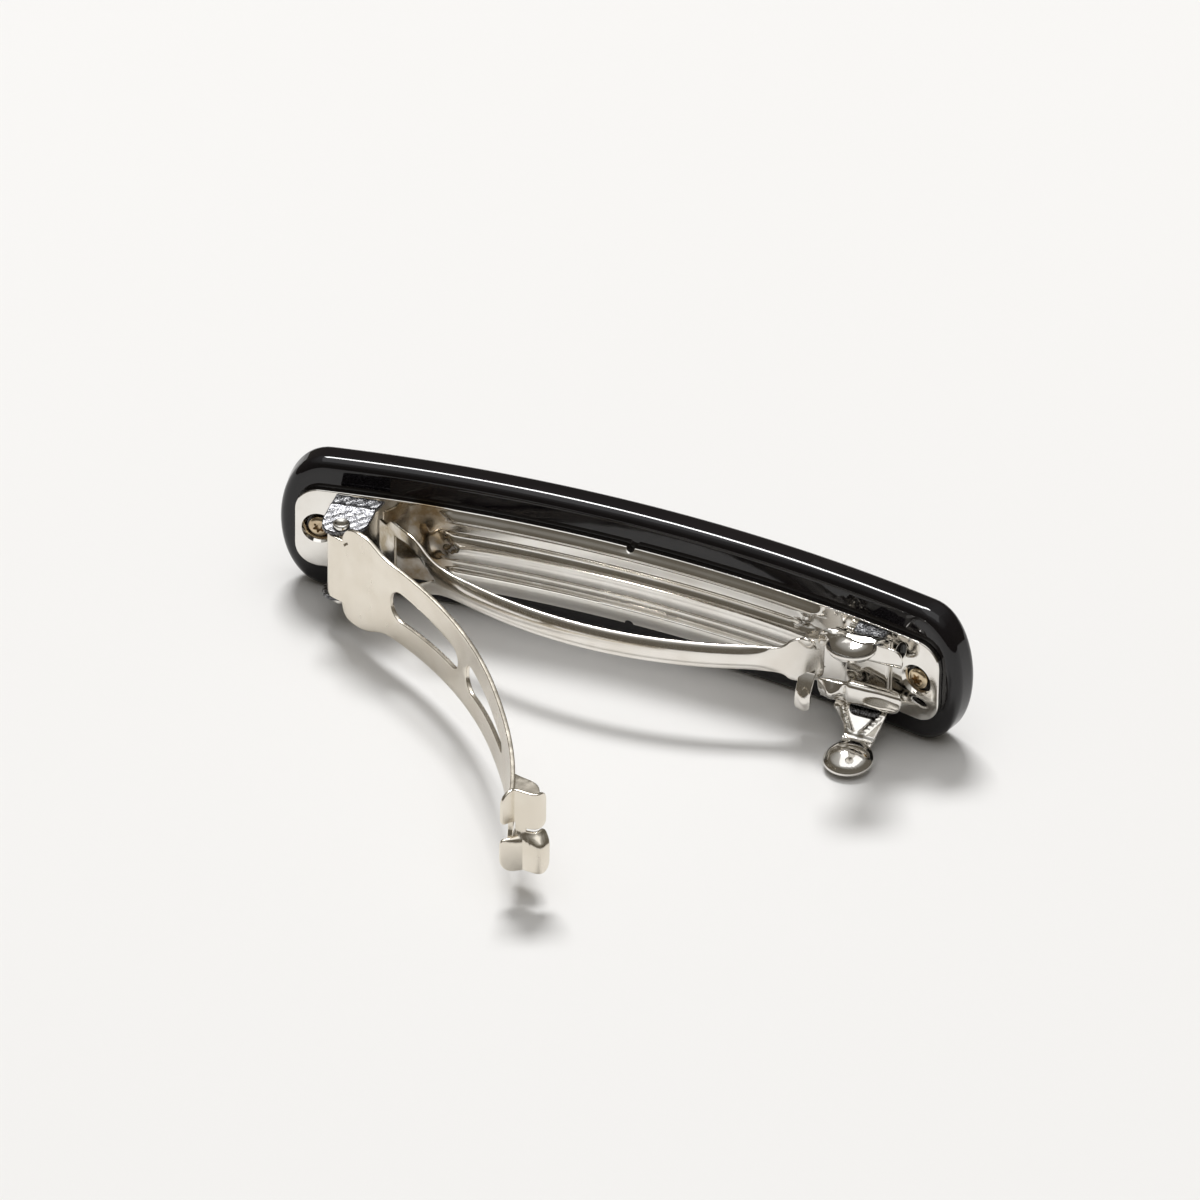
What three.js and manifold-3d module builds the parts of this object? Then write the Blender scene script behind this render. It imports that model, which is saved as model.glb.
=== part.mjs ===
// French barrette: a bowed acetate bar that carries a stamped steel clasp.
// Millimetres. X runs along the bar from the hinge end to the catch end, -Y faces the hair,
// and Z runs across the bar, which stands on its long lower edge.
// The origin is the middle of that lower edge.
import * as THREE from 'three';
import Module from 'manifold-3d';
import { mergeVertices } from 'three/addons/utils/BufferGeometryUtils.js';
import { TessellateModifier } from 'three/addons/modifiers/TessellateModifier.js';

const wasm = await Module();
wasm.setup();

// Driving dimensions
const BOW_RADIUS = 170; // bow of the base plate's hair-side face
const GAP = 0.3; // clearance between pieces that rest on each other

const BAR = {
  halfLength: 42,
  halfWidth: 8.7,
  thickness: 4.05,
  edge: 0.95, // bevel of the polished edges
  endRun: 5.5, // length over which the sides turn into the rounded ends
  endBulge: 4.5,
  endEase: 2,
};
const PLATE = { halfLength: 40, halfWidth: 5.2, thickness: 0.5, corner: 2.2, notch: 0.65 };
const PLATE_SLOT = { x: 34.4, z: 3.2, halfWidth: 0.6, halfLength: 1.25, turn: 20 };
const BEAD = { start: -21.5, end: 22.5, height: 0.75, sunk: 0.2 };
const CREST_BEAD = { middle: 0, halfWidth: 1.9 };
const EDGE_BEAD = { middle: 3.9, halfWidth: 1.05 };
const SCREW = { place: 37.1, headRadius: 1.45, headDepth: 0.7, shankRadius: 0.7, length: 3.4, point: 0.8 };
const RECESS = { length: 1.7, depth: 0.5, width: 0.34, sunk: 0.2 };

const PIN = { x: -31.8, y: -9.1, radius: 0.75, headRadius: 1.05, headHeight: 0.45 };
const EAR = {
  inner: 4.6,
  thickness: 0.5,
  left: -34.6,
  right: -29.3,
  end: -10.5,
  shoulder: -8.2,
  root: 0.25, // how far its root reaches into the plate
};

const ARM = {
  radius: 57.1, // bow of the arm's middle surface
  thickness: 0.55,
  length: 58.5,
  rootHalfWidth: 4.2,
  shoulder: 6.4,
  waist: 4.9,
  tipHalfWidth: 4.0,
  tipInset: 0.15, // how far the flanges and the lip stay inside the strip's edges
  flangeDepth: 3.6,
  lipLength: 4.6,
  lipAngle: 60, // how far the lip is bent from the arm, in degrees
  lipSplit: 1.1, // half of the gap that divides the lip
  openAngle: 72.8, // direction of the hinge pin seen from the centre of the arm's bow, in degrees
};
const ARM_WINDOWS = [
  { left: 9.6, right: 24.2, leftHalf: 1.9, rightHalf: 1.6 },
  { left: 26.4, right: 42, leftHalf: 1.9, rightHalf: 0.8 },
  { left: 54.2, right: 57.4, leftHalf: 0.8, rightHalf: 0.8 },
];
const SPRING = {
  radius: 50.1,
  apexX: -1.3,
  apexY: -12,
  thickness: 0.4,
  left: -30,
  disc: 27.2,
  tail: 2.9, // half widths of the left end, the fork, the long bar, the hooks and the disc
  fork: 4,
  bar: 1.55,
  hook: 3.7,
  discHalf: 2.2,
};
const SADDLE = { left: 27.9, right: 33.5, halfWidth: 3.9 };
const CATCH = { x: 30.7, rootY: -3.9, rootZ: 4.75, thickness: 0.45 };
const LEVER = { flare: 30, padFlare: 12, reach: 5.0, padReach: 2.3, padRadius: 2.85, dome: 0.35 };
const BLADE = { left: -3.3, right: 3.0, straight: 1.2, neckLeft: -0.9, neckRight: 2.9, padMiddle: 1 };
const WING = { left: -4.6, right: 3.4, radius: 1.15, flare: -45, overlap: 0.1 };

const WELD = 1e-4; // corners closer than this are one corner
const TOOL_OVERSHOOT = 1; // how far a cutting tool reaches past the face that it enters
const ROUND_SIDES = 20;
const PAD_SIDES = 24;

const STEEL = { color: 0xd9d6cd, roughness: 0.22, metalness: 1 };
const SATIN_STEEL = { color: 0xd8d2c4, roughness: 0.34, metalness: 1 };
const BRASSY_STEEL = { color: 0xc9b28a, roughness: 0.3, metalness: 1 };
const ACETATE = { color: 0x0d0b0e, roughness: 0.06, metalness: 0 };

// ---------------------------------------------------------------- helpers

const degrees = THREE.MathUtils.degToRad;

function bare(geometry) {
  const positions = new THREE.BufferGeometry();
  positions.setAttribute('position', geometry.attributes.position);
  positions.setIndex(geometry.index);
  return mergeVertices(positions, WELD);
}

function solid(geometry) {
  const merged = bare(geometry);
  return new wasm.Manifold(new wasm.Mesh({
    numProp: 3,
    vertProperties: new Float32Array(merged.attributes.position.array),
    triVerts: new Uint32Array(merged.index.array),
  }));
}

function geometryOf(body) {
  const mesh = body.getMesh();
  const geometry = new THREE.BufferGeometry();
  geometry.setAttribute('position', new THREE.BufferAttribute(mesh.vertProperties, 3));
  geometry.setIndex(new THREE.BufferAttribute(mesh.triVerts, 1));
  geometry.computeVertexNormals();
  return geometry;
}

function joined(geometries) {
  return geometries.map(solid).reduce((whole, next) => whole.add(next));
}

// Moves each vertex (a, b, c) of a geometry to the point that place(a, b, c) returns.
function form(geometry, place) {
  const position = geometry.attributes.position;
  for (let i = 0; i < position.count; i += 1) {
    const point = place(position.getX(i), position.getY(i), position.getZ(i));
    position.setXYZ(i, point[0], point[1], point[2]);
  }
  return geometry;
}

// A flat blank of sheet: the shape is drawn along and across the strip, and its faces are
// divided finely enough to be bent.
function blank(shape, thickness, longestEdge, options = {}) {
  const settings = { depth: thickness, bevelEnabled: false, curveSegments: 6, ...options };
  const sheet = new THREE.ExtrudeGeometry(shape, settings);
  sheet.deleteAttribute('normal');
  sheet.deleteAttribute('uv');
  return new TessellateModifier(longestEdge, 14).modify(sheet);
}

// Bends a blank round the base plate's bow. A sheet's thickness grows towards the hair,
// from a back face that lies behind the base plate's face by the given distance.
function onBow(back) {
  return (along, across, height) => {
    const radius = BOW_RADIUS + back - height;
    const angle = along / BOW_RADIUS;
    return [radius * Math.sin(angle), radius * Math.cos(angle) - BOW_RADIUS, across];
  };
}

function plateFace(x) {
  return Math.sqrt(BOW_RADIUS ** 2 - x ** 2) - BOW_RADIUS;
}

function extrudedAcross(shape, low, high) {
  const settings = { depth: high - low, bevelEnabled: false, curveSegments: 8 };
  return new THREE.ExtrudeGeometry(shape, settings).translate(0, 0, low);
}

function polygon(points) {
  return new THREE.Shape(points.map(([x, y]) => new THREE.Vector2(x, y)));
}

function roundHole(x, y, radius) {
  return new THREE.Path().absarc(x, y, radius, 0, 2 * Math.PI, true);
}

function slotHole(left, right, leftHalf, rightHalf) {
  const hole = new THREE.Path();
  hole.moveTo(left + leftHalf, leftHalf);
  hole.absarc(left + leftHalf, 0, leftHalf, Math.PI / 2, 1.5 * Math.PI, false);
  hole.lineTo(right - rightHalf, -rightHalf);
  hole.absarc(right - rightHalf, 0, rightHalf, -Math.PI / 2, Math.PI / 2, false);
  hole.closePath();
  return hole;
}

function piece(name, body, material) {
  const geometry = body.isBufferGeometry ? body : geometryOf(body);
  const mesh = new THREE.Mesh(geometry, new THREE.MeshStandardMaterial(material));
  mesh.name = name;
  return mesh;
}

// ---------------------------------------------------------------- decorative bar

function barOutline() {
  const { halfLength, halfWidth, endRun, endBulge, endEase } = BAR;
  const easeX = halfLength - endEase;
  const runX = halfLength - endRun;
  const shape = new THREE.Shape();
  shape.moveTo(-halfLength, 0);
  shape.bezierCurveTo(-halfLength, -endBulge, -easeX, -halfWidth, -runX, -halfWidth);
  shape.lineTo(runX, -halfWidth);
  shape.bezierCurveTo(easeX, -halfWidth, halfLength, -endBulge, halfLength, 0);
  shape.bezierCurveTo(halfLength, endBulge, easeX, halfWidth, runX, halfWidth);
  shape.lineTo(-runX, halfWidth);
  shape.bezierCurveTo(-easeX, halfWidth, -halfLength, endBulge, -halfLength, 0);
  return shape;
}

// A round tool that points into the bar, square to its bow, at a screw's place.
function screwTool(profile, place) {
  const points = profile.map(([radius, depth]) => new THREE.Vector2(radius, depth));
  const tool = new THREE.LatheGeometry(points, ROUND_SIDES);
  tool.rotateZ(-place / BOW_RADIUS);
  const angle = place / BOW_RADIUS;
  return tool.translate(BOW_RADIUS * Math.sin(angle), BOW_RADIUS * (Math.cos(angle) - 1), 0);
}

function decorativeBar() {
  const back = PLATE.thickness + GAP + BAR.thickness;
  const sheet = blank(barOutline(), BAR.thickness - 2 * BAR.edge, 12, {
    bevelEnabled: true,
    bevelSize: BAR.edge,
    bevelOffset: -BAR.edge,
    bevelThickness: BAR.edge,
    bevelSegments: 2,
  }).translate(0, 0, BAR.edge);
  let bar = solid(form(sheet, onBow(back)));
  const pilot = SCREW.shankRadius + GAP;
  const depth = SCREW.length + GAP;
  for (const place of [-SCREW.place, SCREW.place]) {
    const hole = [[0, -TOOL_OVERSHOOT], [pilot, -TOOL_OVERSHOOT], [pilot, depth], [0, depth]];
    bar = bar.subtract(solid(screwTool(hole, place)));
  }
  return piece('decorative_bar', bar, ACETATE);
}

// ---------------------------------------------------------------- base plate

function plateOutline() {
  const { halfLength, halfWidth, corner, notch } = PLATE;
  const shape = new THREE.Shape();
  shape.moveTo(-halfLength, 0);
  shape.quadraticCurveTo(-halfLength, -halfWidth, -halfLength + corner, -halfWidth);
  shape.lineTo(-notch, -halfWidth);
  shape.absarc(0, -halfWidth, notch, Math.PI, 0, true);
  shape.lineTo(halfLength - corner, -halfWidth);
  shape.quadraticCurveTo(halfLength, -halfWidth, halfLength, 0);
  shape.quadraticCurveTo(halfLength, halfWidth, halfLength - corner, halfWidth);
  shape.lineTo(notch, halfWidth);
  shape.absarc(0, halfWidth, notch, 0, -Math.PI, true);
  shape.lineTo(-halfLength + corner, halfWidth);
  shape.quadraticCurveTo(-halfLength, halfWidth, -halfLength, 0);
  const slot = new THREE.Path();
  const { x, z, halfWidth: slotHalfWidth, halfLength: slotHalfLength, turn } = PLATE_SLOT;
  slot.absellipse(x, z, slotHalfWidth, slotHalfLength, 0, 2 * Math.PI, true, degrees(turn));
  shape.holes.push(slot);
  return shape;
}

// A stiffening bead pressed along the plate.
function bead(middle, halfWidth) {
  const profile = new THREE.Shape();
  profile.moveTo(-halfWidth, -BEAD.sunk);
  profile.lineTo(halfWidth, -BEAD.sunk);
  profile.absellipse(0, 0, halfWidth, BEAD.height, 0, Math.PI, false, 0);
  profile.closePath();
  const settings = { depth: BEAD.end - BEAD.start, bevelEnabled: false, curveSegments: 4, steps: 14 };
  const strip = new THREE.ExtrudeGeometry(profile, settings);
  const bend = onBow(0);
  return form(strip, (across, height, along) => bend(along + BEAD.start, across + middle, height));
}

function ear(low) {
  const { left, right, end, shoulder, root } = EAR;
  const tipHalf = 0.6;
  const shape = new THREE.Shape();
  shape.moveTo(left, plateFace(left) + root);
  shape.lineTo(left + 0.3, shoulder);
  shape.quadraticCurveTo(left + 0.5, end, PIN.x - tipHalf, end);
  shape.lineTo(PIN.x + tipHalf, end);
  shape.lineTo(right, shoulder);
  shape.lineTo(right, plateFace(right) + root);
  shape.closePath();
  shape.holes.push(roundHole(PIN.x, PIN.y, PIN.radius + GAP));
  return extrudedAcross(shape, low, low + EAR.thickness);
}

function basePlate() {
  const sheet = form(blank(plateOutline(), PLATE.thickness, 11), onBow(PLATE.thickness));
  let plate = joined([
    sheet,
    bead(CREST_BEAD.middle, CREST_BEAD.halfWidth),
    bead(EDGE_BEAD.middle, EDGE_BEAD.halfWidth),
    bead(-EDGE_BEAD.middle, EDGE_BEAD.halfWidth),
    ear(EAR.inner),
    ear(-EAR.inner - EAR.thickness),
  ]);
  const wide = SCREW.headRadius + GAP;
  const narrow = SCREW.shankRadius + GAP;
  for (const place of [-SCREW.place, SCREW.place]) {
    const hole = [
      [0, -TOOL_OVERSHOOT],
      [wide, -TOOL_OVERSHOOT],
      [wide, 0],
      [narrow, PLATE.thickness + 0.12],
      [narrow, TOOL_OVERSHOOT],
      [0, TOOL_OVERSHOOT],
    ];
    plate = plate.subtract(solid(screwTool(hole, place)));
  }
  return piece('base_plate', plate, STEEL);
}

function screw(name, place) {
  const { headRadius, headDepth, shankRadius, length, point } = SCREW;
  const profile = [
    [0, -0.3],
    [headRadius * 0.8, -0.2],
    [headRadius, 0],
    [shankRadius, headDepth - GAP * 0.4],
    [shankRadius, length - point],
    [0, length],
  ];
  let body = solid(screwTool(profile, place));
  const bar = new THREE.BoxGeometry(RECESS.length, RECESS.depth, RECESS.width);
  for (const turn of [45, 135]) {
    const angle = place / BOW_RADIUS;
    const cut = bar.clone().rotateY(degrees(turn)).translate(0, -RECESS.sunk, 0).rotateZ(-angle);
    cut.translate(BOW_RADIUS * Math.sin(angle), BOW_RADIUS * (Math.cos(angle) - 1), 0);
    body = body.subtract(solid(cut));
  }
  return piece(name, body, BRASSY_STEEL);
}

// ---------------------------------------------------------------- hinge pin and clasp arm

function hingePin() {
  const seat = EAR.inner + EAR.thickness + 0.1;
  const top = seat + PIN.headHeight;
  const half = [
    [0, top],
    [PIN.headRadius * 0.6, top - 0.06],
    [PIN.headRadius, seat + 0.1],
    [PIN.headRadius, seat],
    [PIN.radius, seat],
  ];
  const mirrored = half.slice().reverse().map(([radius, height]) => [radius, -height]);
  const outline = [...half, ...mirrored].reverse();
  const points = outline.map(([radius, height]) => new THREE.Vector2(radius, height));
  const pin = new THREE.LatheGeometry(points, ROUND_SIDES);
  return piece('hinge_pin', solid(pin.rotateX(Math.PI / 2).translate(PIN.x, PIN.y, 0)), STEEL);
}

const rollMiddle = PIN.radius + GAP + ARM.thickness / 2;
const armCentre = {
  x: PIN.x - (ARM.radius + rollMiddle) * Math.cos(degrees(ARM.openAngle)),
  y: PIN.y - (ARM.radius + rollMiddle) * Math.sin(degrees(ARM.openAngle)),
};

// The point of the open arm at a distance along it from the pin, and a depth on its base side.
function armPoint(along, depth) {
  const angle = degrees(ARM.openAngle) - along / ARM.radius;
  const radius = ARM.radius + depth;
  return [armCentre.x + radius * Math.cos(angle), armCentre.y + radius * Math.sin(angle)];
}

function armOutline() {
  const { length, rootHalfWidth, shoulder, waist, tipHalfWidth } = ARM;
  const edge = (shape, side) => {
    shape.lineTo(1.6, side * rootHalfWidth);
    shape.quadraticCurveTo(1.7, side * shoulder, 4.2, side * shoulder);
    shape.bezierCurveTo(6.6, side * shoulder, 6.8, side * waist, 10.5, side * waist);
    shape.lineTo(length, side * tipHalfWidth);
  };
  const lower = new THREE.Shape();
  lower.moveTo(0, 0);
  lower.lineTo(0, -rootHalfWidth);
  edge(lower, -1);
  const upper = new THREE.Shape();
  upper.moveTo(0, rootHalfWidth);
  edge(upper, 1);
  const shape = new THREE.Shape([...lower.getPoints(5), ...upper.getPoints(5).reverse()]);
  for (const { left, right, leftHalf, rightHalf } of ARM_WINDOWS) {
    shape.holes.push(slotHole(left, right, leftHalf, rightHalf));
  }
  return shape;
}

function armStrip() {
  return form(blank(armOutline(), ARM.thickness, 5), (along, across, height) => {
    const [x, y] = armPoint(along, ARM.thickness / 2 - height);
    return [x, y, across];
  });
}

// The root of the arm, rolled round the hinge pin.
function armRoll() {
  const inner = PIN.radius + GAP - 0.05;
  const outer = inner + ARM.thickness + 0.1;
  const start = degrees(15);
  const end = degrees(ARM.openAngle + 192);
  const shape = new THREE.Shape();
  shape.absarc(0, 0, outer, start, end, false);
  shape.absarc(0, 0, inner, end, start, true);
  shape.closePath();
  return extrudedAcross(shape, -ARM.rootHalfWidth, ARM.rootHalfWidth).translate(PIN.x, PIN.y, 0);
}

// A side flange at the arm's tip, turned towards the base.
function tipFlange(low) {
  const shape = polygon([
    armPoint(50.6, 0.1),
    armPoint(57.6, 0.1),
    armPoint(57.0, ARM.flangeDepth),
    armPoint(53.2, ARM.flangeDepth),
  ]);
  return extrudedAcross(shape, low, low + ARM.thickness);
}

// One half of the bent lip that ends the arm.
function tipLip(low, high) {
  const run = ARM.lipLength * Math.cos(degrees(ARM.lipAngle));
  const drop = ARM.lipLength * Math.sin(degrees(ARM.lipAngle));
  const shape = polygon([
    armPoint(ARM.length - 0.5, 0.15),
    armPoint(ARM.length - 0.5, -0.15),
    armPoint(ARM.length + 0.15, -0.15),
    armPoint(ARM.length + 0.5 + run, drop),
    armPoint(ARM.length + run, drop + 0.3),
  ]);
  return extrudedAcross(shape, low, high);
}

function claspArm() {
  const outer = ARM.tipHalfWidth - ARM.tipInset;
  const body = joined([
    armStrip(),
    armRoll(),
    tipFlange(outer - ARM.thickness),
    tipFlange(-outer),
    tipLip(ARM.lipSplit, outer),
    tipLip(-outer, -ARM.lipSplit),
  ]);
  return piece('clasp_arm', body, SATIN_STEEL);
}

// ---------------------------------------------------------------- tension spring

function springPlace(along, across, height) {
  const radius = SPRING.radius - SPRING.thickness / 2 + height;
  const angle = along / SPRING.radius;
  const centreY = SPRING.apexY + SPRING.radius;
  return [SPRING.apexX + radius * Math.sin(angle), centreY - radius * Math.cos(angle), across];
}

function springOutline() {
  const { left, disc, tail, fork, bar, hook, discHalf } = SPRING;
  const edge = (shape, side) => {
    shape.lineTo(left + 1.4, side * tail);
    shape.lineTo(left + 2.6, side * fork);
    shape.lineTo(left + 6.5, side * fork);
    shape.bezierCurveTo(left + 9, side * fork, left + 9, side * bar, left + 12.5, side * bar);
    shape.lineTo(disc - 5.4, side * bar);
    shape.quadraticCurveTo(disc - 3.6, side * bar, disc - 3, side * 2.3);
    shape.lineTo(disc - 2.6, side * hook);
    shape.lineTo(disc - 1.2, side * hook);
    shape.lineTo(disc - 1, side * discHalf);
    shape.quadraticCurveTo(disc + 2, side * discHalf, disc + discHalf, 0);
  };
  const lower = new THREE.Shape();
  lower.moveTo(left, -tail);
  edge(lower, -1);
  const upper = new THREE.Shape();
  upper.moveTo(left, tail);
  edge(upper, 1);
  const shape = new THREE.Shape([...lower.getPoints(5), ...upper.getPoints(5).reverse().slice(1)]);
  shape.holes.push(slotHole(left + 3, left + 10, 1.7, 0.7));
  return shape;
}

function tensionSpring() {
  const strip = blank(springOutline(), SPRING.thickness, 5.5);
  return piece('tension_spring', solid(form(strip, springPlace)), STEEL);
}

// ---------------------------------------------------------------- catch

function catchSaddle() {
  const { left, right, halfWidth } = SADDLE;
  const shape = polygon([
    [left, -halfWidth],
    [right, -halfWidth],
    [right, halfWidth],
    [left, halfWidth],
  ]);
  const sheet = form(blank(shape, CATCH.thickness, 4), onBow(-GAP));
  return piece('catch_saddle', solid(sheet), STEEL);
}

// Places a plate drawn in X and reach so that it leaves the root at an angle to the clasp's axis.
function flared(geometry, flare, y, z) {
  const reach = new THREE.Vector3(0, -Math.cos(degrees(flare)), Math.sin(degrees(flare)));
  const along = new THREE.Vector3(1, 0, 0);
  const inward = new THREE.Vector3().crossVectors(along, reach);
  const frame = new THREE.Matrix4().makeBasis(along, reach, inward);
  return geometry.applyMatrix4(frame.setPosition(CATCH.x, y, z));
}

function leverRoot() {
  const { left, right, straight, neckLeft, neckRight } = BLADE;
  const shape = polygon([
    [left, 0],
    [right, 0],
    [right, straight],
    [neckRight, LEVER.reach],
    [neckLeft, LEVER.reach],
    [left, straight],
  ]);
  return flared(extrudedAcross(shape, 0, CATCH.thickness), LEVER.flare, CATCH.rootY, CATCH.rootZ);
}

function leverPad() {
  const { padRadius, dome } = LEVER;
  const profile = [
    [0, -dome],
    [padRadius * 0.5, -dome * 0.8],
    [padRadius * 0.85, -dome * 0.35],
    [padRadius, 0.05],
    [padRadius - 0.1, CATCH.thickness],
    [padRadius * 0.8, CATCH.thickness - dome * 0.35],
    [padRadius * 0.5, CATCH.thickness - dome * 0.8],
    [0, CATCH.thickness - dome],
  ];
  const points = profile.map(([radius, height]) => new THREE.Vector2(radius, height));
  const disc = new THREE.LatheGeometry(points, PAD_SIDES);
  const neckY = CATCH.rootY - LEVER.reach * Math.cos(degrees(LEVER.flare));
  const neckZ = CATCH.rootZ + LEVER.reach * Math.sin(degrees(LEVER.flare));
  disc.rotateX(Math.PI / 2).translate(BLADE.padMiddle, LEVER.padReach, 0);
  return flared(disc, LEVER.padFlare, neckY, neckZ);
}

// The rounded wings that grip the arm's tip, leaning in from the lever's root.
function leverWing() {
  const { left, right, radius, flare, overlap } = WING;
  const shape = new THREE.Shape();
  shape.moveTo(left, 0);
  shape.lineTo(right, 0);
  shape.absarc(right, radius, radius, -Math.PI / 2, Math.PI / 2, false);
  shape.lineTo(left, 2 * radius);
  shape.absarc(left, radius, radius, Math.PI / 2, 1.5 * Math.PI, false);
  const plate = extrudedAcross(shape, 0, CATCH.thickness);
  return flared(plate, flare, CATCH.rootY - overlap, CATCH.rootZ - overlap);
}

function catchLever(name, side) {
  let lever = joined([leverRoot(), leverPad(), leverWing()]);
  if (side < 0) {
    lever = lever.mirror([0, 0, 1]);
  }
  return piece(name, lever, STEEL);
}

// ---------------------------------------------------------------- assembly

const barrette = new THREE.Group();
barrette.add(
  decorativeBar(),
  basePlate(),
  screw('screw_left', -SCREW.place),
  screw('screw_right', SCREW.place),
  hingePin(),
  claspArm(),
  tensionSpring(),
  catchSaddle(),
  catchLever('catch_lever_upper', 1),
  catchLever('catch_lever_lower', -1),
);
barrette.position.set(0, -(PLATE.thickness + GAP + BAR.thickness / 2), BAR.halfWidth);

export default barrette;
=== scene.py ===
import math

import bmesh
import bpy
import numpy as np
from mathutils import Matrix, Vector


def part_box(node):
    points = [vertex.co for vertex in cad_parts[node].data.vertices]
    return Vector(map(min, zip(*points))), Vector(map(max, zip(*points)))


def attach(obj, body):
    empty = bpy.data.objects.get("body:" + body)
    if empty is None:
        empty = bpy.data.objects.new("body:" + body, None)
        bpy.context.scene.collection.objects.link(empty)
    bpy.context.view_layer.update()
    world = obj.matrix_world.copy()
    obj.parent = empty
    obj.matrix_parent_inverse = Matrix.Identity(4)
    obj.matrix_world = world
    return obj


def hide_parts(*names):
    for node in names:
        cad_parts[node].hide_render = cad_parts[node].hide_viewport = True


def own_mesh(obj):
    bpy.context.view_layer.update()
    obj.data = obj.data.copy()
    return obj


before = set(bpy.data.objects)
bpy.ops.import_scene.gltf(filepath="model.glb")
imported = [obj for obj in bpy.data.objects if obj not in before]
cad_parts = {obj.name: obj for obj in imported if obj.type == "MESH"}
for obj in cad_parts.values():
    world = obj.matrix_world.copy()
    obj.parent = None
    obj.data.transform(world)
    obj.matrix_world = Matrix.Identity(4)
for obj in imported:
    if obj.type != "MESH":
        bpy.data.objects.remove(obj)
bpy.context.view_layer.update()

MM = 0.001
bar_low, bar_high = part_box("decorative_bar")
pin_low, pin_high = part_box("hinge_pin")
PLATE_THICKNESS = 0.5
PLATE_GAP = 0.3  # between the plate and the bar
PLATE_VISIBLE = 0.77  # the plate is drawn thick enough to fill nearly all of that gap
BAR_THICKNESS = 4.05
MIDDLE = (bar_low.z + bar_high.z) / 2 / MM
FACE = bar_high.y / MM - BAR_THICKNESS - PLATE_GAP - PLATE_THICKNESS
PIN_X = (pin_low.x + pin_high.x) / 2 / MM
PIN_Y = (pin_low.y + pin_high.y) / 2 / MM - FACE

BOW = 170.0  # radius that the bar and the plate are bent to
SCREW_LEFT = -37.25
SCREW_RIGHT = 37.0
ARM_RADIUS = 57.1
ARM_THICKNESS = 0.55
ARM_LENGTH = 58.5
ARM_OPEN = math.radians(72.8)  # where the open arm starts on its bend
ARM_STRAIGHTER = 1.1  # how far the tip stands outside the bend's circle
ROLL_INNER = 1.02  # inside radius of the arm's rolled root
ARM_OFFSET = ARM_RADIUS + ROLL_INNER + 0.3  # from the pin to the middle of the arm's bend
SPRING_RADIUS = 50.1
SPRING_APEX = (-1.3, -12.0)
CATCH_X = 30.7


# ---------------------------------------------------------------- materials


def node_material(name):
    material = bpy.data.materials.new(name)
    material.use_nodes = True
    nodes = material.node_tree.nodes
    return material, nodes, material.node_tree.links, nodes["Principled BSDF"]


def noise(nodes, links, scale, detail=3.0, roughness=0.5, stretch=(1, 1, 1)):
    """A noise texture in the piece's own coordinates; scale is in cells per metre."""
    coordinates = nodes.new("ShaderNodeTexCoord")
    mapping = nodes.new("ShaderNodeMapping")
    mapping.inputs["Scale"].default_value = stretch
    links.new(coordinates.outputs["Object"], mapping.inputs["Vector"])
    texture = nodes.new("ShaderNodeTexNoise")
    texture.inputs["Scale"].default_value = scale
    texture.inputs["Detail"].default_value = detail
    texture.inputs["Roughness"].default_value = roughness
    links.new(mapping.outputs["Vector"], texture.inputs["Vector"])
    return texture


def ramp(nodes, links, source, stops):
    """stops is a list of (place, grey or colour)."""
    node = nodes.new("ShaderNodeValToRGB")
    elements = node.color_ramp.elements
    while len(elements) < len(stops):
        elements.new(0.5)
    for element, (place, colour) in zip(elements, stops):
        element.position = place
        if isinstance(colour, (int, float)):
            colour = (colour, colour, colour)
        element.color = (*colour, 1)
    links.new(source, node.inputs["Fac"])
    return node


def bump(nodes, links, height, strength, distance, before=None):
    node = nodes.new("ShaderNodeBump")
    node.inputs["Strength"].default_value = strength
    node.inputs["Distance"].default_value = distance
    links.new(height, node.inputs["Height"])
    if before is not None:
        links.new(before.outputs["Normal"], node.inputs["Normal"])
    return node


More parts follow.
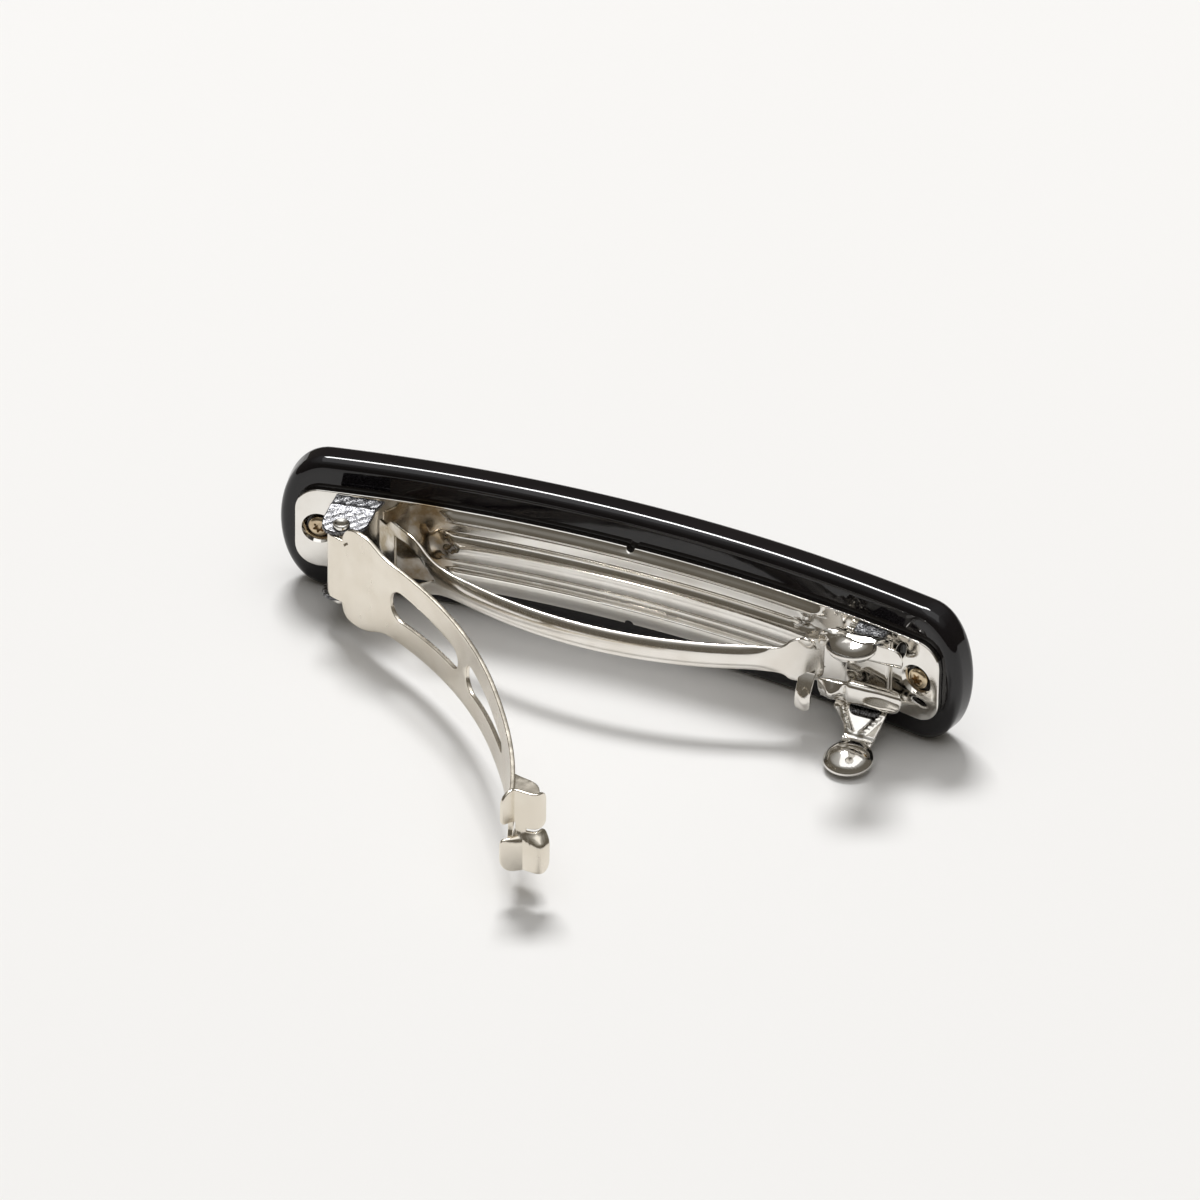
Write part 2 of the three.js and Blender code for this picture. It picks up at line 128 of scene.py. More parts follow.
def metal(name, light, dark, smooth, rough, grain, wave, painted_reflection=None):
    """Plated steel: the colour drifts between light and dark, and the roughness between two values.
    The last argument is (colour, four places along the object's x, in millimetres): a warm, dark
    reflection painted into the colour in patches, which grows between the first two places and
    fades between the last two."""
    material, nodes, links, shader = node_material(name)
    shader.inputs["Metallic"].default_value = 1.0
    drift = noise(nodes, links, 260, 4)
    tone = ramp(nodes, links, drift.outputs["Fac"], [(0.35, dark), (0.62, light)])
    colour = tone.outputs["Color"]
    # Painted reflection: a warm, dark colour mixed into the base colour in patches over a band
    # along x, standing in for dark, warm surroundings seen in the metal.
    if painted_reflection is not None:
        reflection_colour, places = painted_reflection
        reach = 0.045
        coordinates = nodes.new("ShaderNodeTexCoord")
        split = nodes.new("ShaderNodeSeparateXYZ")
        links.new(coordinates.outputs["Object"], split.inputs[0])
        scaled = nodes.new("ShaderNodeMapRange")
        scaled.inputs["From Min"].default_value = -reach
        scaled.inputs["From Max"].default_value = reach
        links.new(split.outputs["X"], scaled.inputs["Value"])
        spread = [(place / 1000 + reach) / (2 * reach) for place in places]
        stops = list(zip(spread, (0, 1, 1, 0)))
        where = ramp(nodes, links, scaled.outputs["Result"], stops)
        patches = noise(nodes, links, 330, 4, 0.6)
        patchy = ramp(nodes, links, patches.outputs["Fac"], [(0.36, 0.15), (0.6, 0.95)])
        amount = nodes.new("ShaderNodeMath")
        amount.operation = "MULTIPLY"
        links.new(where.outputs["Color"], amount.inputs[0])
        links.new(patchy.outputs["Color"], amount.inputs[1])
        mixed = nodes.new("ShaderNodeMix")
        mixed.data_type = "RGBA"
        links.new(amount.outputs["Value"], mixed.inputs[0])
        links.new(colour, mixed.inputs[6])
        mixed.inputs[7].default_value = (*reflection_colour, 1)
        colour = mixed.outputs[2]
    links.new(colour, shader.inputs["Base Color"])
    smudge = noise(nodes, links, 620, 5, 0.6, (1, 1, 0.4))
    sheen = ramp(nodes, links, smudge.outputs["Fac"], [(0.35, smooth), (0.7, rough)])
    links.new(sheen.outputs["Color"], shader.inputs["Roughness"])
    fine = noise(nodes, links, 5200, 2, 0.6, (0.35, 0.35, 1))
    slow = noise(nodes, links, 420, 2)
    first = bump(nodes, links, fine.outputs["Fac"], grain, 0.00004)
    second = bump(nodes, links, slow.outputs["Fac"], wave, 0.0003, first)
    links.new(second.outputs["Normal"], shader.inputs["Normal"])
    return material


def hammered(name):
    """Bright plating over a crinkled, hammered face."""
    material, nodes, links, shader = node_material(name)
    shader.inputs["Metallic"].default_value = 1.0
    drift = noise(nodes, links, 5200, 5, 0.7)
    tone = ramp(
        nodes,
        links,
        drift.outputs["Fac"],
        [(0.42, (0.03, 0.03, 0.035)), (0.55, (0.17, 0.17, 0.175)), (0.68, (0.55, 0.55, 0.55))],
    )
    links.new(tone.outputs["Color"], shader.inputs["Base Color"])
    cells = nodes.new("ShaderNodeTexVoronoi")
    cells.feature = "DISTANCE_TO_EDGE"
    cells.inputs["Scale"].default_value = 4300
    coordinates = nodes.new("ShaderNodeTexCoord")
    links.new(coordinates.outputs["Object"], cells.inputs["Vector"])
    crease = noise(nodes, links, 5200, 4, 0.65)
    first = bump(nodes, links, cells.outputs["Distance"], 0.3, 0.00005)
    second = bump(nodes, links, crease.outputs["Fac"], 0.35, 0.00006, first)
    links.new(second.outputs["Normal"], shader.inputs["Normal"])
    sheen = ramp(nodes, links, crease.outputs["Fac"], [(0.3, 0.2), (0.7, 0.4)])
    links.new(sheen.outputs["Color"], shader.inputs["Roughness"])
    return material


def acetate_material():
    """Polished cellulose acetate, near black with a faint warm marbling under the surface."""
    material, nodes, links, shader = node_material("black_acetate")
    shader.inputs["IOR"].default_value = 1.48
    marble = noise(nodes, links, 95, 5, 0.6, (1, 3, 1.6))
    tone = ramp(
        nodes,
        links,
        marble.outputs["Fac"],
        [(0.3, (0.0035, 0.003, 0.0042)), (0.72, (0.0095, 0.0075, 0.009))],
    )
    links.new(tone.outputs["Color"], shader.inputs["Base Color"])
    polish = noise(nodes, links, 900, 4, 0.6)
    sheen = ramp(nodes, links, polish.outputs["Fac"], [(0.35, 0.035), (0.75, 0.085)])
    links.new(sheen.outputs["Color"], shader.inputs["Roughness"])
    lapped = noise(nodes, links, 130, 2)
    soft = bump(nodes, links, lapped.outputs["Fac"], 0.10, 0.0005)
    links.new(soft.outputs["Normal"], shader.inputs["Normal"])
    return material


def floor_material():
    material, nodes, links, shader = node_material("studio_floor")
    drift = noise(nodes, links, 7, 3)
    tone = ramp(
        nodes,
        links,
        drift.outputs["Fac"],
        [(0.3, (0.846, 0.838, 0.829)), (0.7, (0.852, 0.845, 0.837))],
    )
    links.new(tone.outputs["Color"], shader.inputs["Base Color"])
    shader.inputs["Roughness"].default_value = 0.7
    shader.inputs["Specular IOR Level"].default_value = 0.2
    return material


NICKEL = (0.87, 0.85, 0.81)
NICKEL_SHADE = (0.81, 0.78, 0.73)

BRIGHT = metal(
    "bright_nickel", NICKEL, NICKEL_SHADE, smooth=0.06, rough=0.13, grain=0.03, wave=0.03
)
PLATE_STEEL = metal(
    "plate_nickel",
    NICKEL,
    NICKEL_SHADE,
    smooth=0.07,
    rough=0.14,
    grain=0.03,
    wave=0.03,
    # Painted reflection: warm brown mixed into the plate's colour between x -31 and -20.5 mm, over
    # the dish beside the hinge.
    painted_reflection=((0.42, 0.31, 0.18), (-31.0, -28.0, -23.0, -20.5)),
)
SATIN = metal(
    "satin_nickel",
    (0.83, 0.775, 0.68),
    (0.77, 0.71, 0.61),
    smooth=0.2,
    rough=0.28,
    grain=0.04,
    wave=0.02,
)
SPRING_STEEL = metal(
    "spring_nickel",
    (0.86, 0.83, 0.78),
    (0.79, 0.75, 0.69),
    smooth=0.11,
    rough=0.2,
    grain=0.04,
    wave=0.03,
    # Painted reflection: warm brown mixed into the spring's colour between x -45 and -18 mm, over
    # its forked left end.
    painted_reflection=((0.4, 0.33, 0.22), (-45.0, -44.0, -25.0, -18.0)),
)
BRASSY = metal(
    "brassy_nickel",
    (0.74, 0.62, 0.44),
    (0.36, 0.26, 0.16),
    smooth=0.1,
    rough=0.28,
    grain=0.2,
    wave=0.2,
)
HAMMERED = hammered("hammered_nickel")
ACETATE = acetate_material()


# ---------------------------------------------------------------- mesh helpers


def mesh_from(name, points, faces):
    """A mesh from points in millimetres of the working frame."""
    placed = (np.asarray(points, float) + np.array([0, FACE, MIDDLE])) * MM
    mesh = bpy.data.meshes.new(name)
    mesh.from_pydata(placed.tolist(), [], [list(f) for f in faces])
    return mesh


def evaluated_mesh(obj):
    """A new mesh of the object with its curve settings or modifiers applied."""
    bpy.context.view_layer.update()
    graph = bpy.context.evaluated_depsgraph_get()
    return bpy.data.meshes.new_from_object(obj.evaluated_get(graph))


def piece(name, vertices, faces, material, body, sharp=38, weighted=True):
    """A mesh object that rides on a CAD body and fills a material slot."""
    mesh = mesh_from(name, vertices, faces)
    mesh.validate()
    mesh.update()
    mesh.shade_smooth()
    mesh.set_sharp_from_angle(angle=math.radians(sharp))
    mesh.materials.append(material)
    obj = bpy.data.objects.new(name, mesh)
    bpy.context.scene.collection.objects.link(obj)
    if weighted:
        modifier = obj.modifiers.new("normals", "WEIGHTED_NORMAL")
        modifier.keep_sharp = True
    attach(obj, body)
    return obj


def arc(cx, cy, radius, start, end, count):
    """Points on an arc; the angles are in degrees."""
    angles = np.radians(np.linspace(start, end, count))
    return [(cx + radius * math.cos(a), cy + radius * math.sin(a)) for a in angles]


def bezier(p0, p1, p2, p3, count):
    """Points of a cubic after its first one."""
    t = np.linspace(0, 1, count + 1)[1:, None]
    p0, p1, p2, p3 = (np.array(p, float) for p in (p0, p1, p2, p3))
    curve = (
        (1 - t) ** 3 * p0
        + 3 * (1 - t) ** 2 * t * p1
        + 3 * (1 - t) * t**2 * p2
        + t**3 * p3
    )
    return [tuple(p) for p in curve]


def sheet(loops, thickness, edge, cuts_x=(), cuts_y=(), rounding=2):
    """A flat sheet with rounded edges, cut from loops: the outline first, then the holes.
    It is divided at the given lines so that it can be bent, and lies from z 0 to its thickness."""
    curve = bpy.data.curves.new("sheet", "CURVE")
    curve.dimensions = "2D"
    curve.fill_mode = "BOTH"
    curve.extrude = thickness / 2 - edge
    curve.bevel_depth = edge
    curve.bevel_resolution = rounding
    curve.offset = -edge
    for loop in loops:
        spline = curve.splines.new("POLY")
        spline.points.add(len(loop) - 1)
        for point, (x, y) in zip(spline.points, loop):
            point.co = (x, y, 0, 1)
        spline.use_cyclic_u = True
    obj = bpy.data.objects.new("sheet", curve)
    bpy.context.scene.collection.objects.link(obj)
    mesh = evaluated_mesh(obj)
    bpy.data.objects.remove(obj)
    bm = bmesh.new()
    bm.from_mesh(mesh)
    bpy.data.meshes.remove(mesh)
    bmesh.ops.remove_doubles(bm, verts=bm.verts[:], dist=1e-4)
    for normal, places in (((1, 0, 0), cuts_x), ((0, 1, 0), cuts_y)):
        for place in places:
            centre = Vector(normal) * place
            geometry = bm.verts[:] + bm.edges[:] + bm.faces[:]
            bmesh.ops.bisect_plane(bm, geom=geometry, dist=1e-5, plane_co=centre, plane_no=normal)
    bmesh.ops.recalc_face_normals(bm, faces=bm.faces[:])
    bm.verts.index_update()
    points = np.array([v.co for v in bm.verts]) + np.array([0, 0, thickness / 2])
    faces = [[v.index for v in f.verts] for f in bm.faces]
    bm.free()
    return points, faces


def tube_faces(rings, count):
    """Quads between rings of count points each, stored ring by ring."""
    faces = []
    for i in range(rings - 1):
        for j in range(count):
            k = (j + 1) % count
            here, there = i * count, (i + 1) * count
            faces.append((here + j, here + k, there + k, there + j))
    return faces


def turned_over(faces, side):
    """The faces of a mirror image, which is the piece on side -1, wound the other way round."""
    return [tuple(reversed(f)) for f in faces] if side < 0 else faces


def cut_places(*ranges):
    """Each place in the (start, end, step) ranges, once and in order."""
    return sorted(set().union(*(np.round(np.arange(*steps), 3) for steps in ranges)))


def lathe(profile, count):
    """A closed solid turned about z from (radius, height) points that start and end on the axis."""
    points = [(0, 0, profile[0][1])]
    faces = []
    angles = np.linspace(0, 2 * math.pi, count, endpoint=False)
    for radius, height in profile[1:-1]:
        points += [(radius * math.cos(a), radius * math.sin(a), height) for a in angles]
    points.append((0, 0, profile[-1][1]))
    last = len(points) - 1
    rings = len(profile) - 2
    for j in range(count):
        k = (j + 1) % count
        faces.append((0, 1 + k, 1 + j))
        faces.append((last, last - count + j, last - count + k))
        for i in range(rings - 1):
            a = 1 + i * count
            faces.append((a + j, a + k, a + count + k, a + count + j))
    return np.array(points), faces


def combined(parts):
    """Several (points, faces) in one."""
    points, faces, offset = [], [], 0
    for some, more in parts:
        points.append(np.asarray(some, float))
        faces += [tuple(i + offset for i in f) for f in more]
        offset += len(some)
    return np.vstack(points), faces


def smooth(x, start, end):
    """0 before start and 1 after end, turning smoothly between them."""
    t = np.clip((np.asarray(x, float) - start) / (end - start), 0, 1)
    return t * t * (3 - 2 * t)


def ridge(x, centre, width):
    """1 at the centre and fading over the width, for a crease or a rim."""
    return np.exp(-(((x - centre) / width) ** 2))


def dome(x, y, centre, widths):
    """The same in two directions, for a dent or a swelling."""
    return np.exp(-(((x - centre[0]) / widths[0]) ** 2) - ((y - centre[1]) / widths[1]) ** 2)


def on_bow(points, back):
    """Bends a sheet (along, across, height) round the plate's bow, thickness towards the hair."""
    radius = BOW + back - points[:, 2]
    angle = points[:, 0] / BOW
    x = radius * np.sin(angle)
    y = radius * np.cos(angle) - BOW
    return np.stack([x, y, points[:, 1]], 1)


def seated(points, place, top):
    """Stands a turned shape in the plate at a place along the bow, with its height 0 at top."""
    angle = place / BOW
    x = points[:, 0]
    y = top - points[:, 2]
    along = x * math.cos(angle) + (BOW + y) * math.sin(angle)
    away = -x * math.sin(angle) + (BOW + y) * math.cos(angle) - BOW
    return np.stack([along, away, points[:, 1]], 1)


def follow(points, corners):
    """Bends a sheet (x, run, height) along a path of (y, z) corners, which are rounded off;
    the height stands on the path's left."""
    path = np.array(corners, float)
    for _ in range(4):
        near = 0.75 * path[:-1] + 0.25 * path[1:]
        far = 0.25 * path[:-1] + 0.75 * path[1:]
        middle = np.stack([near, far], 1).reshape(-1, 2)
        path = np.vstack([path[:1], middle[1:-1], path[-1:]])
    steps = np.diff(path, axis=0)
    lengths = np.hypot(steps[:, 0], steps[:, 1])
    distance = np.concatenate([[0], np.cumsum(lengths)])
    directions = np.gradient(path, distance, axis=0)
    directions /= np.hypot(directions[:, 0], directions[:, 1])[:, None]
    run = points[:, 1]
    inside = np.clip(run, 0, distance[-1])
    y = np.interp(inside, distance, path[:, 0])
    z = np.interp(inside, distance, path[:, 1])
    dy = np.interp(inside, distance, directions[:, 0])
    dz = np.interp(inside, distance, directions[:, 1])
    beyond = run - inside
    height = points[:, 2]
    return np.stack(
        [points[:, 0], y + dy * beyond - dz * height, z + dz * beyond + dy * height], 1
    )


def cut_out(obj, cutters):
    """Subtracts cutter meshes, given in working millimetres, and applies the result."""
    for points, faces in cutters:
        mesh = mesh_from("cutter", points, faces)
        mesh.update()
        tool = bpy.data.objects.new("cutter", mesh)
        bpy.context.scene.collection.objects.link(tool)
        modifier = obj.modifiers.new("cut", "BOOLEAN")
        modifier.operation = "DIFFERENCE"
        modifier.solver = "EXACT"
        modifier.object = tool
        cut = evaluated_mesh(obj)
        obj.modifiers.remove(modifier)
        old = obj.data
        obj.data = cut
        bpy.data.meshes.remove(old)
        bpy.data.objects.remove(tool)
    obj.data.shade_smooth()
    obj.data.set_sharp_from_angle(angle=math.radians(35))


# ---------------------------------------------------------------- acetate bar


def acetate_bar():
    half, wide, run = 42.0, 8.7, 5.5
    bulge, ease, edge = 4.5, 2, 1.3
    loop = [(-half, 0)]
    loop += bezier((-half, 0), (-half, -bulge), (-half + ease, -wide), (-half + run, -wide), 18)
    loop += [(half - run, -wide)]
    loop += bezier((half - run, -wide), (half - ease, -wide), (half, -bulge), (half, 0), 18)
    loop += bezier((half, 0), (half, bulge), (half - ease, wide), (half - run, wide), 18)
    loop += [(-half + run, wide)]
    last = bezier((-half + run, wide), (-half + ease, wide), (-half, bulge), (-half, 0), 18)
    loop += last[:-1]
    points, faces = sheet([loop], BAR_THICKNESS, edge, np.arange(-41.5, 41.6, 1.0), (), 7)
    bent = on_bow(points, PLATE_THICKNESS + PLATE_GAP + BAR_THICKNESS)
    bar = piece("acetate_bar", bent, faces, ACETATE, "base")
    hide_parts("decorative_bar")


# ---------------------------------------------------------------- base plate


def plate_relief(x, y):
    """How far the pressed beads stand off the plate, in millimetres towards the hair."""
    ragged = 0.45 * np.sin(2.3 * y + 0.6) + 0.25 * np.sin(5.1 * y)
    begins = smooth(x, -22.3 + ragged, -21.2 + ragged)
    crest = 0.8 * np.sqrt(np.clip(1 - ((y - 0.2) / 1.75) ** 2, 0, 1))
    crest = crest * begins * (1 - smooth(x, 22.6, 24.6))
    upper = 0.72 * smooth(y, 3.55, 3.95) * (1 - 0.95 * smooth(y, 4.0, 5.3))
    upper = upper * begins * (1 - smooth(x, 23.2, 25.0))
    lower = 0.78 * smooth(-y, 2.5, 2.95) * (1 - 0.85 * smooth(-y, 3.3, 5.3))
    lower = lower * begins * (1 - smooth(x, 22.8, 25.2))
    # The groove between the crest and the upper bead ends in a round rim.
    from_end = np.hypot(np.clip(x - 21.3, 0, None), y - 2.85)
    rim = 0.62 * ridge(from_end, 1.05, 0.33) * smooth(x, 20.2, 21.4)
    formed = np.maximum.reduce([crest, upper, lower, rim])
    pressed = begins * (1 - smooth(x, 21.5, 23.5))
    for place, depth in ((2.05, 0.2), (3.45, 0.12), (-1.62, 0.2), (-2.3, 0.16)):
        formed = formed - depth * pressed * ridge(y, place, 0.1)
    dish = -0.32 * dome(x, y, (-26.2, 0.6), (2.6, 3.2))
    lump = 0.28 * dome(x, y, (-24.0, 1.9), (0.9, 1.3))
    pit = -0.22 * dome(x, y, (-23.3, -0.8), (0.7, 1.0))
    return formed + dish + lump + pit


def screw_cutter(place):
    """The dimple and the hole for a screw."""
    profile = [(0, -1.2), (1.15, -1.2), (1.4, -0.6), (1.62, -0.1), (2.0, 0.4), (2.0, 3), (0, 3)]
    points, faces = lathe(profile, 48)
    return seated(points, place, 0.35), faces


def slanted_oval(x, y, half_width, lean, half_height, count):
    """An oval hole's loop, walked clockwise, with its top pushed to the right by lean."""
    loop = []
    for a in np.linspace(0, -2 * math.pi, count, endpoint=False):
        across = x + half_width * math.cos(a) + lean * math.sin(a)
        loop.append((across, y + half_height * math.sin(a)))
    return loop


def base_plate():
    half, wide, corner, notch = 40.0, 5.2, 2.9, 0.5
    loop = [(-half, -wide + corner)]
    loop += arc(-half + corner, -wide + corner, corner, 180, 270, 12)[1:]
    loop += arc(0, -wide, notch, 180, 0, 12)
    loop += arc(half - corner, -wide + corner, corner, 270, 360, 12)
    loop += arc(half - corner, wide - corner, corner, 0, 90, 12)
    loop += arc(0, wide, notch, 0, -180, 12)
    loop += arc(-half + corner, wide - corner, corner, 90, 180, 12)
    kidney = slanted_oval(34.8, 3.0, 0.6, 0.4, 1.35, 28)
    slot = slanted_oval(37.5, -2.75, 0.95, -0.3, 0.42, 24)
    # The cuts are closer where the beads begin and end, and along their flanks and creases.
    cuts_x = cut_places((-39, 39.1, 1.5), (-30, -20.4, 0.3), (20, 25.6, 0.3))
    cuts_y = cut_places(
        (-5.1, 5.2, 0.3),
        (2.45, 4.1, 0.1),
        (-3.4, -2.6, 0.1),
        (-2.56, -1.24, 0.08),
        (1.7, 2.4, 0.08),
    )
    points, faces = sheet([loop, kidney, slot], PLATE_VISIBLE, 0.14, cuts_x, cuts_y, 3)
    relief = plate_relief(points[:, 0], points[:, 1])
    points[:, 2] += relief * smooth(points[:, 2], 0, PLATE_VISIBLE)
    plate = piece(
        "base_plate_pressed",
        on_bow(points, PLATE_VISIBLE),
        faces,
        PLATE_STEEL,
        "base",
        sharp=50,
        weighted=False,
    )
    cut_out(plate, [screw_cutter(SCREW_LEFT), screw_cutter(SCREW_RIGHT)])
    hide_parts("base_plate")


def hinge_ear(name, side):
    """A bracket bent off the plate's edge that holds one end of the hinge pin."""
    left, right = -34.75, -29.3
    root, inner_face, bend = -3.45, 4.68, 2.2
    loop = [(left, 0), (left + 0.2, 4.4)]
    loop += bezier((left + 0.2, 4.4), (left + 0.3, 5.8), (-33.8, 6.95), (-32.4, 6.95), 14)
    loop += [(-31.6, 6.9)]
    loop += bezier((-31.6, 6.9), (-30.4, 6.7), (-29.6, 5.8), (right + 0.1, 4.9), 10)
    loop += [(right - 0.1, 1.8), (right + 0.15, 0)]
    loop.reverse()
    cuts = np.arange(left + 0.25, right, 0.25)
    points, faces = sheet([loop], 0.5, 0.12, cuts, np.arange(0.2, 7.4, 0.2), 3)
    reach = points[:, 1]
    slant = 0.16 * (points[:, 0] + 32.0)
    slope = np.where(reach < bend, -0.03 * (bend - reach), 0.1 * (reach - bend))
    crease = 0.12 * ridge(reach, bend, 0.3)
    dents = 0.035 * np.sin(4.3 * points[:, 0] + 1.1 * reach) * np.sin(3.4 * reach + 1.0)
    z = inner_face + points[:, 2] - slope + crease + dents
    shaped = np.stack([points[:, 0] + 0.04 * reach, root + slant - reach, side * z], 1)
    piece(name, shaped, turned_over(faces, side), HAMMERED, "base")


def hinge_pin():
    seat, top, radius = 4.7, 5.32, 0.75
    half = [(0, top - 0.2), (0.45, top - 0.2), (0.62, top - 0.06), (0.78, top)]
    half += [(0.93, top - 0.06), (1.0, top - 0.18), (0.98, seat), (radius, seat - 0.1)]
    profile = half + [(r, -h) for r, h in reversed(half)]
    points, faces = lathe(list(reversed(profile)), 32)
    points[:, 0] += PIN_X
    points[:, 1] += PIN_Y
    pin = piece("hinge_rivet", points, faces, BRIGHT, "base")
    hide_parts("hinge_pin")


def screw(name, place, node, turn):
    """A small pan-head screw with a six-lobed recess, sunk in the plate."""
    top, recess, lobe = 0.62, 0.62, 0.17
    profile = [
        (0, 0.52),
        (0.8, 0.5),
        (1.08, 0.42),
        (1.24, 0.27),
        (1.27, 0.1),
        (1.2, -0.1),
        (0.7, -0.35),
        (0.66, -2.2),
        (0, -2.8),
    ]
    points, faces = lathe(list(reversed(profile)), 48)
    points = seated(points, place, top)
    head = piece(name, points, faces, BRASSY, "base", weighted=False)
    lobes = []
    for a in np.linspace(0, 2 * math.pi, 72, endpoint=False):
        r = recess + lobe * math.cos(6 * a)
        lobes.append((r * math.cos(a + turn), r * math.sin(a + turn)))
    count = len(lobes)
    ring = [(x * 0.85, y * 0.85, 0.05) for x, y in lobes] + [(x, y, 1.0) for x, y in lobes]
    sides = tube_faces(2, count)
    sides += [tuple(reversed(range(count))), tuple(range(count, 2 * count))]
    cut_out(head, [(seated(np.array(ring), place, top), sides)])
    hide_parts(node)


# ---------------------------------------------------------------- clasp arm


ARM_X = PIN_X - ARM_OFFSET * math.cos(ARM_OPEN)
ARM_Y = PIN_Y - ARM_OFFSET * math.sin(ARM_OPEN)


def on_arm(points):
    """Bends a sheet (along, across, height) to the arm; the height grows away from the base."""
    angle = ARM_OPEN - points[:, 0] / ARM_RADIUS
    straighter = ARM_STRAIGHTER * smooth(points[:, 0], 36, 60)
    radius = ARM_RADIUS + ARM_THICKNESS / 2 - points[:, 2] + straighter
    x = ARM_X + radius * np.cos(angle)
    y = ARM_Y + radius * np.sin(angle)
    return np.stack([x, y, points[:, 1]], 1)


def stadium(left, right, left_half, right_half):
    """A slot's loop with round ends, walked clockwise."""
    loop = arc(left + left_half, 0, left_half, 270, 90, 12)
    return loop + arc(right - right_half, 0, right_half, 90, -90, 12)


def rolled_root(half_width):
    """The arm's root, rolled two thirds of the way round the hinge pin."""
    inner, outer = ROLL_INNER, ROLL_INNER + ARM_THICKNESS
    rounding = 0.08
    angles = np.radians(np.linspace(18, 262, 40))
    section = [(outer * math.cos(a), outer * math.sin(a)) for a in angles]
    section += [(inner * math.cos(a), inner * math.sin(a)) for a in reversed(angles)]
    count = len(section)
    half = count // 2
    widths = [-half_width, -half_width + rounding, half_width - rounding, half_width]
    roll = []
    for width, less in zip(widths, [rounding, 0, 0, rounding]):
        for i, (x, y) in enumerate(section):
            radius = math.hypot(x, y)
            moved = radius - less if i < half else radius + less
            roll.append((PIN_X + x * moved / radius, PIN_Y + y * moved / radius, width))
    faces = tube_faces(len(widths), count)
    last = (len(widths) - 1) * count
    for i in range(half - 1):
        faces.append((i, count - 1 - i, count - 2 - i, i + 1))
        faces.append((last + i, last + i + 1, last + count - 2 - i, last + count - 1 - i))
    return np.array(roll), [tuple(reversed(f)) for f in faces]


def clasp_arm():
    root, shoulder, waist, tip = 4.2, 6.4, 4.9, 4.0
    upper_end, lower_end = ARM_LENGTH - 1.8, ARM_LENGTH - 1.1
    side = [(1.5, root)]
    side += bezier((1.5, root), (1.6, 5.3), (1.9, shoulder), (4.0, shoulder), 10)
    side += bezier((4.0, shoulder), (6.9, shoulder), (6.7, waist), (10.5, waist), 14)
    lower = [(x, -y) for x, y in side] + [(lower_end, -tip), (lower_end, -1.3)]
    upper = [(upper_end, -0.3), (upper_end, tip)] + list(reversed(side))
    loop = [(0, -root)] + lower + upper + [(0, root)]
    holes = [
        stadium(9.6, 24.2, 1.95, 1.4),
        stadium(26.4, 42, 1.8, 0.8),
        stadium(53.4, 56.1, 0.75, 0.75),
        [(1.9, 3.7), (1.75, 3.86), (2.3, 4.36), (2.45, 4.2)],
    ]
    strip, strip_faces = sheet([loop] + holes, ARM_THICKNESS, 0.12, np.arange(0.8, 58.4, 0.8))
    parts = [(on_arm(strip), strip_faces), rolled_root(root)]
    parts += [tip_flange(1), tip_flange(-1), tip_lip()]
    points, faces = combined(parts)
    arm = piece("clasp_arm_curved", points, faces, SATIN, "arm")
    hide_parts("clasp_arm")


def tip_lip():
    """The tip beyond the strip: a flared tab that stands outward, and the slit hook that folds
    back towards the base from the same crease."""
    half = [(0.75, 2.3), (0.95, 0.5)]
    half += bezier((0.95, 0.5), (1.0, 0.1), (1.3, 0), (1.8, 0), 5)
    half += bezier((3.4, 0), (4.6, 0.0), (5.1, 0.7), (5.15, 1.5), 10)
    half += [(5.1, 2.0), (4.9, 4.6)]
    half += bezier((4.9, 4.6), (4.8, 5.5), (4.3, 5.9), (3.4, 5.9), 8)
    half += [(1.0, 5.9)]
    half += bezier((1.0, 5.9), (0.4, 5.9), (0.22, 5.6), (0.22, 5.0), 6)
    half += [(0.22, 3.6)]
    loop = half + [(-x, y) for x, y in reversed(half)]
    cuts = (np.arange(-5.0, 5.1, 0.4), np.arange(0.2, 5.9, 0.12))
    points, faces = sheet([loop], 0.42, 0.13, *cuts, 3)
    # Each path is (along the arm, away from the base). The lower half is creased farther out.
    rim = (57.9, 1.35)
    crease = [(56.9, 0.42), (56.55, 0.08), (56.45, -0.1), (56.5, -0.5)]
    upper = follow(points, [rim] + crease + [(56.95, -2.3), (56.7, -2.8), (55.9, -3.2)])
    crease = [(57.35, -0.9), (57.22, -1.3), (57.35, -1.5)]
    lower = follow(points, [rim] + crease + [(58.0, -3.0), (57.9, -3.4), (57.1, -3.9)])
    share = smooth(-points[:, 0], 0.2, 1.3)[:, None]
    x, y, z = (upper + (lower - upper) * share).T
    return on_arm(np.stack([y, x, z], 1)), [tuple(reversed(f)) for f in faces]


def tip_flange(side):
    """The strip's side folded towards the base just before the lip."""
    loop = [(52.0, 0), (56.2, 0), (56.4, 2.4)]
    loop += bezier((56.4, 2.4), (56.4, 2.9), (56.0, 3.0), (55.5, 2.95), 6)
    loop += bezier((55.5, 2.95), (53.6, 2.8), (53.4, 1.2), (52.0, 0), 10)[:-1]
    points, faces = sheet([loop], 0.5, 0.14, np.arange(53.6, 58, 0.4), np.arange(0.3, 3.2, 0.3))
    depth = points[:, 1]
    z = 3.42 + points[:, 2] + 0.12 * depth
    bent = on_arm(np.stack([points[:, 0], side * z, -depth + 0.1], 1))
    return bent, turned_over(faces, side)


# ---------------------------------------------------------------- tension spring


def spring_lug(side, length):
    """A rounded lug beside the spring's disc that keeps it on the catch."""
    half, place = 0.95, 24.1
    loop = [(-half, 0), (half, 0), (half, length - half)]
    loop += arc(0, length - half, half, 0, 180, 14)[1:]
    cuts = (np.arange(-0.7, 0.8, 0.35), np.arange(0.3, length, 0.3))
    points, faces = sheet([loop], 0.4, 0.13, *cuts, 3)
    ring = np.hypot(points[:, 0] / 0.6, (points[:, 1] - length + 1.3) / 0.95)
    points[:, 2] += 0.22 * ridge(ring, 0, 1) - 0.1 * ridge(ring, 1.35, 0.2)
    path = [(-5.0, 1.9), (-5.8, 2.8), (-6.4, 4.0), (-6.5, 5.6), (-6.2, 6.8)]
    bent = follow(points, path) + np.array([place, 0, 0])
    return bent * np.array([1, 1, side]), turned_over(faces, side)


